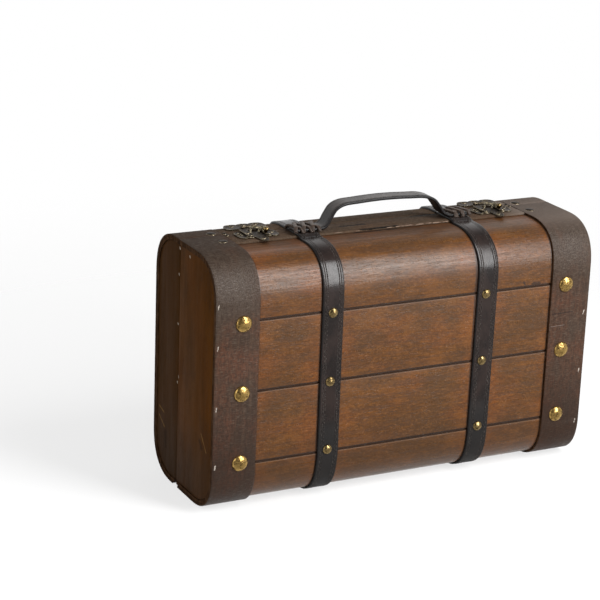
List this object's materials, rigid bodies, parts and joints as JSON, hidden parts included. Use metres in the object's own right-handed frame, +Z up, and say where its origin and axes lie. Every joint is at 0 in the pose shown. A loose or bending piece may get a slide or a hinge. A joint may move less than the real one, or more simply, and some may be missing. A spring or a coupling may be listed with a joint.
{
  "type": "wooden suitcase box",
  "caption": "Small vintage suitcase box of bent plywood with wooden bands, leather straps and handle, domed nails, bottom hinges and swinging hasp latches on top.",
  "frame": {"origin": "on the ground, under the middle of the closed case as it stands on its hinge side", "axes": "+X along the case's width, to the right as seen from the front; -Y out of the front face; +Z up, towards the handle"},
  "size_m": [0.405, 0.1419, 0.2752],
  "materials": {
    "plank_wood": "satin varnish over a warm brown stain, worn at the grooves",
    "band_wood": "dark grey-brown stain, satin, with chipped edges",
    "panel_wood": "dark brown stain, satin, vertical grain",
    "bare_wood": "unfinished, sanded",
    "strap_leather": "waxed black-brown leather, stitched along both edges",
    "nail_brass": "polished, rubbed dark round the rim",
    "old_bronze": "antiqued, dark in the hollows and bright on the edges"
  },
  "bodies": {
    "base": {"front_skin": "plank_wood", "front_end_panel_left": "panel_wood", "front_end_panel_right": "panel_wood", "front_rim_board_top": "bare_wood", "front_rim_board_bottom": "bare_wood", "front_edge_strip": "band_wood", "front_band_left": "band_wood", "front_band_right": "band_wood", "front_strap_left": "strap_leather", "front_strap_right": "strap_leather", "handle": "strap_leather", "handle_rivet_left": "old_bronze", "handle_rivet_right": "old_bronze", "band_nail_left_low": "nail_brass", "band_nail_left_middle": "nail_brass", "band_nail_left_high": "nail_brass", "band_nail_right_low": "nail_brass", "band_nail_right_middle": "nail_brass", "band_nail_right_high": "nail_brass", "strap_nail_left_low": "nail_brass", "strap_nail_left_middle": "nail_brass", "strap_nail_left_high": "nail_brass", "strap_nail_right_low": "nail_brass", "strap_nail_right_middle": "nail_brass", "strap_nail_right_high": "nail_brass", "front_tack_left": "old_bronze", "front_tack_right": "old_bronze", "hinge_base_leaf_left": "old_bronze", "hinge_base_leaf_right": "old_bronze", "hinge_pin_left": "old_bronze", "hinge_pin_right": "old_bronze", "latch_front_plate_left": "old_bronze", "latch_front_plate_right": "old_bronze", "latch_staple_left": "old_bronze", "latch_staple_right": "old_bronze"},
    "lid": {"back_skin": "plank_wood", "back_end_panel_left": "panel_wood", "back_end_panel_right": "panel_wood", "back_rim_board_top": "bare_wood", "back_rim_board_bottom": "bare_wood", "back_edge_strip": "band_wood", "back_band_left": "band_wood", "back_band_right": "band_wood", "back_strap_left": "strap_leather", "back_strap_right": "strap_leather", "back_tack_left": "old_bronze", "back_tack_right": "old_bronze", "hinge_lid_leaf_left": "old_bronze", "hinge_lid_leaf_right": "old_bronze", "latch_back_plate_left": "old_bronze", "latch_back_plate_right": "old_bronze", "latch_pin_left": "old_bronze", "latch_pin_right": "old_bronze"},
    "left_hasp": {"hasp_left": "old_bronze", "hasp_knob_left": "nail_brass"},
    "right_hasp": {"hasp_right": "old_bronze", "hasp_knob_right": "nail_brass"}
  },
  "joints": [
    {"name": "lid_hinge", "type": "hinge", "parent": "base", "child": "lid", "pos_m": [0, 0.0155, 0.0017], "axis": [-1, 0, 0], "range_deg": [0, 140]},
    {"name": "left_hasp_pivot", "type": "hinge", "parent": "lid", "child": "left_hasp", "pos_m": [-0.1285, 0.023, 0.2499], "axis": [-1, 0, 0], "range_deg": [0, 165]},
    {"name": "right_hasp_pivot", "type": "hinge", "parent": "lid", "child": "right_hasp", "pos_m": [0.1285, 0.023, 0.2499], "axis": [-1, 0, 0], "range_deg": [0, 165]}
  ]
}
